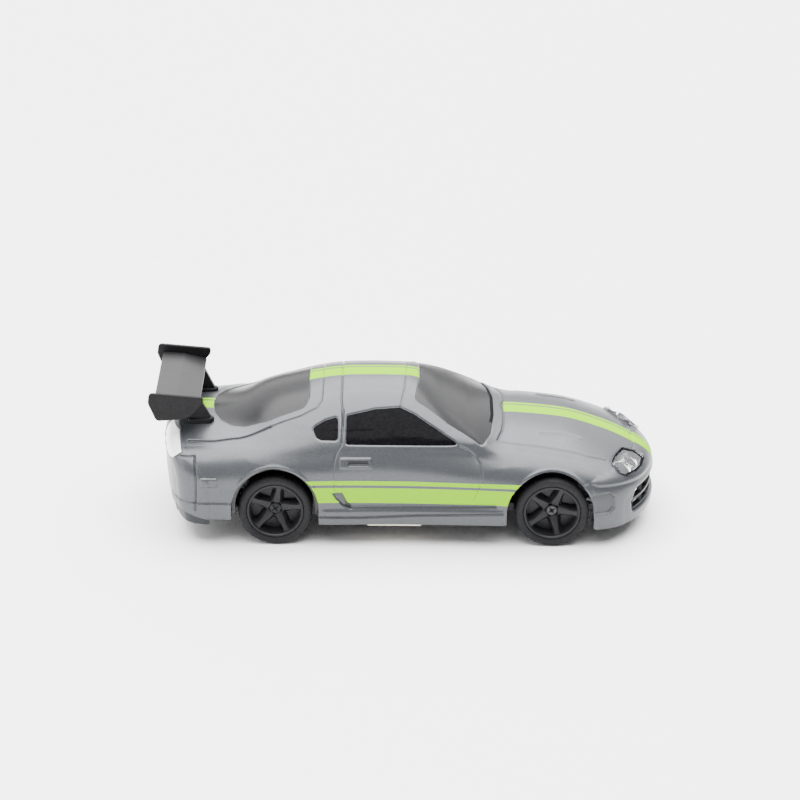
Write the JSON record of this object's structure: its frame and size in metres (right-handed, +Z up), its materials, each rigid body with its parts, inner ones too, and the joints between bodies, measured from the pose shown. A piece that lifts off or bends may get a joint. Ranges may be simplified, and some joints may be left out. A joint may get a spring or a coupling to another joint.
{
  "type": "rc drift car",
  "caption": "Palm-size radio-controlled drift car: striped coupe shell with a tall rear wing on a geared chassis with rack steering and turning wheels.",
  "frame": {"origin": "on the ground, under the middle of the whole car", "axes": "+X to the nose, +Y to the left side, +Z up"},
  "size_m": [0.067, 0.0264, 0.0201],
  "materials": {
    "paint": "silver-grey metallic paint with lime stripes",
    "dark_glass": "gloss near-black",
    "lens": "clear gloss",
    "lamp_chrome": "bright",
    "satin_black": "satin moulded",
    "dark_grey": "satin",
    "tyre": "matte slick",
    "chassis_black": "moulded",
    "natural_nylon": "natural nylon",
    "steel": "bright",
    "brass": "bright",
    "battery_foil": "wrapped cell",
    "board_green": "solder mask"
  },
  "bodies": {
    "chassis": {"axle_bushings": "brass", "battery": "battery_foil", "body_screws": "steel", "body_shell": "paint", "chassis_plate": "chassis_black", "circuit_board": "board_green", "cover_screws": "steel", "door_window_l": "dark_glass", "door_window_r": "dark_glass", "drive_motor": "steel", "front_wheel_well_l": "chassis_black", "front_wheel_well_r": "chassis_black", "gearbox_cover": "chassis_black", "headlight_bowl_l": "lamp_chrome", "headlight_bowl_r": "lamp_chrome", "headlight_lens_l": "lens", "headlight_lens_r": "lens", "idler_pin": "steel", "intake_grille": "satin_black", "quarter_window_l": "dark_glass", "quarter_window_r": "dark_glass", "rear_diffuser": "dark_grey", "rear_wheel_well_l": "chassis_black", "rear_wheel_well_r": "chassis_black", "rear_window": "dark_glass", "servo_bracket": "chassis_black", "servo_motor": "steel", "sill_latch_l": "natural_nylon", "sill_latch_r": "natural_nylon", "steering_plate": "chassis_black", "switch_housing": "chassis_black", "taillight_l": "lens", "taillight_r": "lens", "usb_socket": "steel", "windscreen": "dark_glass", "wing_blade": "satin_black", "wing_endplate_l": "satin_black", "wing_endplate_r": "satin_black", "wing_stand_l": "satin_black", "wing_stand_r": "satin_black"},
    "rear_axle": {"rear_axle": "steel", "axle_gear": "natural_nylon", "rear_rim_l": "satin_black", "rear_rim_r": "satin_black", "rear_tyre_l": "tyre", "rear_tyre_r": "tyre"},
    "idler": {"idler_gear": "natural_nylon"},
    "motor_shaft": {"motor_pinion": "brass"},
    "knuckle_left": {"knuckle_l": "chassis_black", "wheel_screw_l": "satin_black"},
    "knuckle_right": {"knuckle_r": "chassis_black", "wheel_screw_r": "satin_black"},
    "front_wheel_left": {"front_rim_l": "satin_black", "front_tyre_l": "tyre"},
    "front_wheel_right": {"front_rim_r": "satin_black", "front_tyre_r": "tyre"},
    "steering_rod": {"steering_rod": "chassis_black"},
    "servo_gear": {"servo_gear": "natural_nylon"},
    "servo_shaft": {"servo_pinion": "brass"},
    "power_slider": {"switch_slider": "chassis_black"}
  },
  "joints": [
    {"name": "rear_axle_spin", "type": "hinge", "parent": "chassis", "child": "rear_axle", "pos_m": [-0.01685, 0, 0.0049], "axis": [0, 1, 0], "continuous": true},
    {"name": "idler_spin", "type": "hinge", "parent": "chassis", "child": "idler", "pos_m": [-0.01309, -0.0072, 0.00627], "axis": [0, 1, 0], "continuous": true},
    {"name": "motor_spin", "type": "hinge", "parent": "chassis", "child": "motor_shaft", "pos_m": [-0.00958, -0.0061, 0.00791], "axis": [0, 1, 0], "continuous": true},
    {"name": "steer_left", "type": "hinge", "parent": "chassis", "child": "knuckle_left", "pos_m": [0.01965, 0.0069, 0.0049], "axis": [0, 0, 1], "range_deg": [-24, 24]},
    {"name": "steer_right", "type": "hinge", "parent": "chassis", "child": "knuckle_right", "pos_m": [0.01965, -0.0069, 0.0049], "axis": [0, 0, 1], "range_deg": [-24, 24]},
    {"name": "front_wheel_left_spin", "type": "hinge", "parent": "knuckle_left", "child": "front_wheel_left", "pos_m": [0.01965, 0.0084, 0.0049], "axis": [0, 1, 0], "continuous": true},
    {"name": "front_wheel_right_spin", "type": "hinge", "parent": "knuckle_right", "child": "front_wheel_right", "pos_m": [0.01965, -0.0084, 0.0049], "axis": [0, 1, 0], "continuous": true},
    {"name": "steering_rod_slide", "type": "slide", "parent": "chassis", "child": "steering_rod", "axis": [0, 1, 0], "range_m": [-0.00143, 0.00143]},
    {"name": "servo_gear_turn", "type": "hinge", "parent": "chassis", "child": "servo_gear", "pos_m": [0.01245, 0, 0.0042], "axis": [0, 0, 1], "range_deg": [-34.5, 34.5]},
    {"name": "servo_motor_turn", "type": "hinge", "parent": "chassis", "child": "servo_shaft", "pos_m": [0.00735, 0, 0.0042], "axis": [0, 0, 1], "range_deg": [-112, 112]},
    {"name": "power_switch_slide", "type": "slide", "parent": "chassis", "child": "power_slider", "axis": [1, 0, 0], "range_m": [0, 0.0015]}
  ],
  "couplings": [
    {"joint": "idler_spin", "follows": "rear_axle_spin", "ratio": -1.6667},
    {"joint": "motor_spin", "follows": "rear_axle_spin", "ratio": 4.0741},
    {"joint": "steer_right", "follows": "steer_left", "ratio": 1},
    {"joint": "steering_rod_slide", "follows": "steer_left", "m_per_rad": -0.0033985},
    {"joint": "servo_gear_turn", "follows": "steer_left", "ratio": -1.4161},
    {"joint": "servo_motor_turn", "follows": "steer_left", "ratio": 4.6022}
  ]
}
